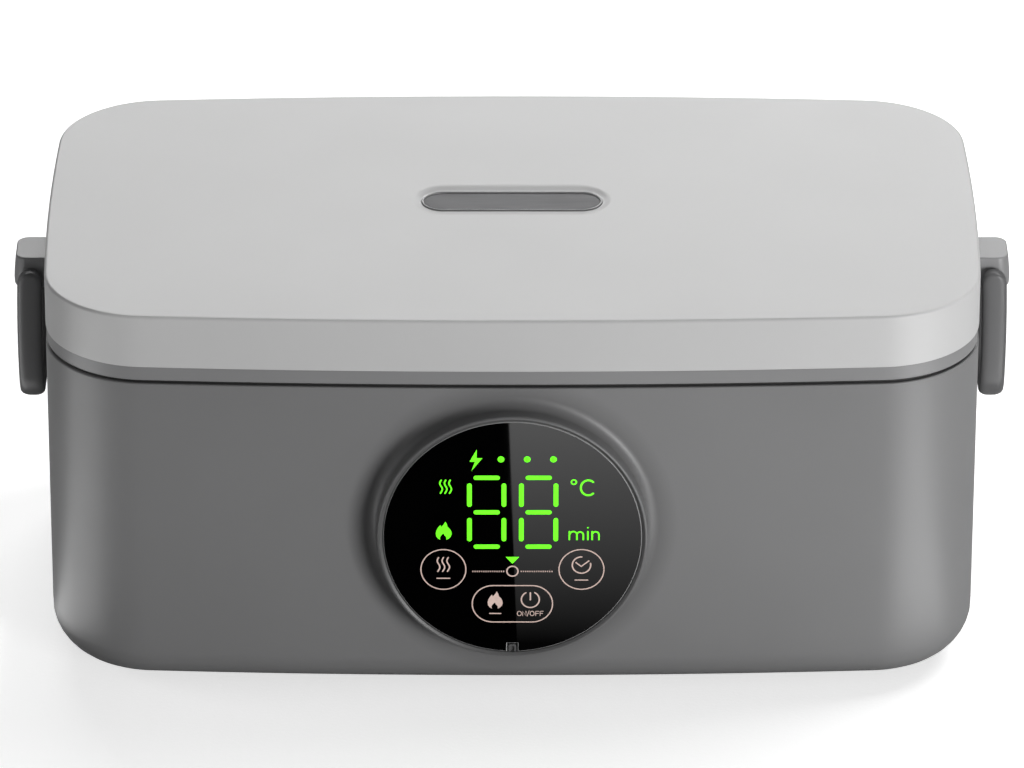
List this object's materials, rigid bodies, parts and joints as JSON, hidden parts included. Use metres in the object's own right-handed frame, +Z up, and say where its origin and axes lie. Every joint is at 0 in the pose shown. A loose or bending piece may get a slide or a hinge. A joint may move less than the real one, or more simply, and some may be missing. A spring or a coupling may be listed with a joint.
{
  "type": "electric lunch box",
  "caption": "Electric lunch box: heated base with a round touch display, lift-off lid held by side loop latches, and a lidded steel food container inside.",
  "frame": {"origin": "centre of the bounding box on the surface that the feet stand on", "axes": "+Z up, -Y towards the front with the display, +X to the right of someone facing the display"},
  "size_m": [0.254, 0.1412, 0.1065],
  "materials": {
    "shell_grey": "satin fine-textured moulding",
    "lid_grey": "satin fine-textured moulding",
    "frame_grey": "satin moulding",
    "latch_grey": "semi-gloss moulding",
    "cover_grey": "plain moulding",
    "collar_white": "plain moulding",
    "foot_rubber": "matt rubber",
    "seal_black": "matt silicone",
    "seal_clear": "satin silicone",
    "panel_glass": "polished, black printed on its back",
    "board_green": "lacquered circuit board",
    "digit_white": "light guide block",
    "screw_steel": "zinc plated",
    "pin_steel": "nickel plated",
    "tub_aluminium": "anodised sheet",
    "heater_aluminium": "cast plate",
    "shield_steel": "galvanised sheet",
    "heater_film": "film laminate",
    "part_brown": "phenolic case",
    "part_blue": "moulded case",
    "part_yellow": "tape-wrapped winding",
    "part_black": "moulded case",
    "part_white": "moulded case",
    "pan_steel": "fine brushed stainless",
    "pan_lid_clear": "translucent moulding",
    "badge_metal": "dark satin plate"
  },
  "bodies": {
    "base": {"outer_shell": "shell_grey", "base_cover": "cover_grey", "feet": "foot_rubber", "base_screws": "screw_steel", "top_collar": "collar_white", "display_glass": "panel_glass", "display_board": "board_green", "digit_module": "digit_white", "touch_springs": "pin_steel", "display_screws": "screw_steel", "heating_tub": "tub_aluminium", "heater_plate": "heater_aluminium", "heating_film": "heater_film", "film_clamp": "shield_steel", "heat_shield": "shield_steel", "shield_spacers": "screw_steel", "heater_screws": "screw_steel", "thermostat": "part_brown", "temperature_sensor": "pin_steel", "thermal_fuse": "part_white", "power_board": "board_green", "board_screws": "screw_steel", "relay": "part_blue", "transformer": "part_yellow", "capacitors": "part_black", "wire_terminals": "part_white", "inlet_socket": "part_black", "inlet_pins": "pin_steel"},
    "lid": {"lid_cover": "lid_grey", "lid_frame": "frame_grey", "lid_liner": "collar_white", "lid_seal": "seal_black", "lid_screws": "screw_steel", "lid_badge": "badge_metal", "latch_pins": "pin_steel"},
    "latch_left": {"latch_left": "latch_grey"},
    "latch_right": {"latch_right": "latch_grey"},
    "container": {"food_container": "pan_steel"},
    "container_lid": {"container_lid": "pan_lid_clear", "container_seal": "seal_clear", "vent_plug": "seal_clear"}
  },
  "joints": [
    {"name": "lid_lift", "type": "slide", "parent": "base", "child": "lid", "axis": [0, 0, 1], "range_m": [0, 0.18]},
    {"name": "container_lift", "type": "slide", "parent": "base", "child": "container", "axis": [0, 0, 1], "range_m": [0, 0.09]},
    {"name": "container_lid_lift", "type": "slide", "parent": "container", "child": "container_lid", "axis": [0, 0, 1], "range_m": [0, 0.045]},
    {"name": "latch_left_hinge", "type": "hinge", "parent": "lid", "child": "latch_left", "pos_m": [-0.1228, 0.00325, 0.0891], "axis": [0, 1, 0], "range_deg": [0, 110]},
    {"name": "latch_right_hinge", "type": "hinge", "parent": "lid", "child": "latch_right", "pos_m": [0.1228, 0.00325, 0.0891], "axis": [0, -1, 0], "range_deg": [0, 110]}
  ],
  "couplings": [
    {"joint": "container_lift", "follows": "lid_lift", "ratio": 0.5},
    {"joint": "container_lid_lift", "follows": "lid_lift", "ratio": 0.25}
  ]
}
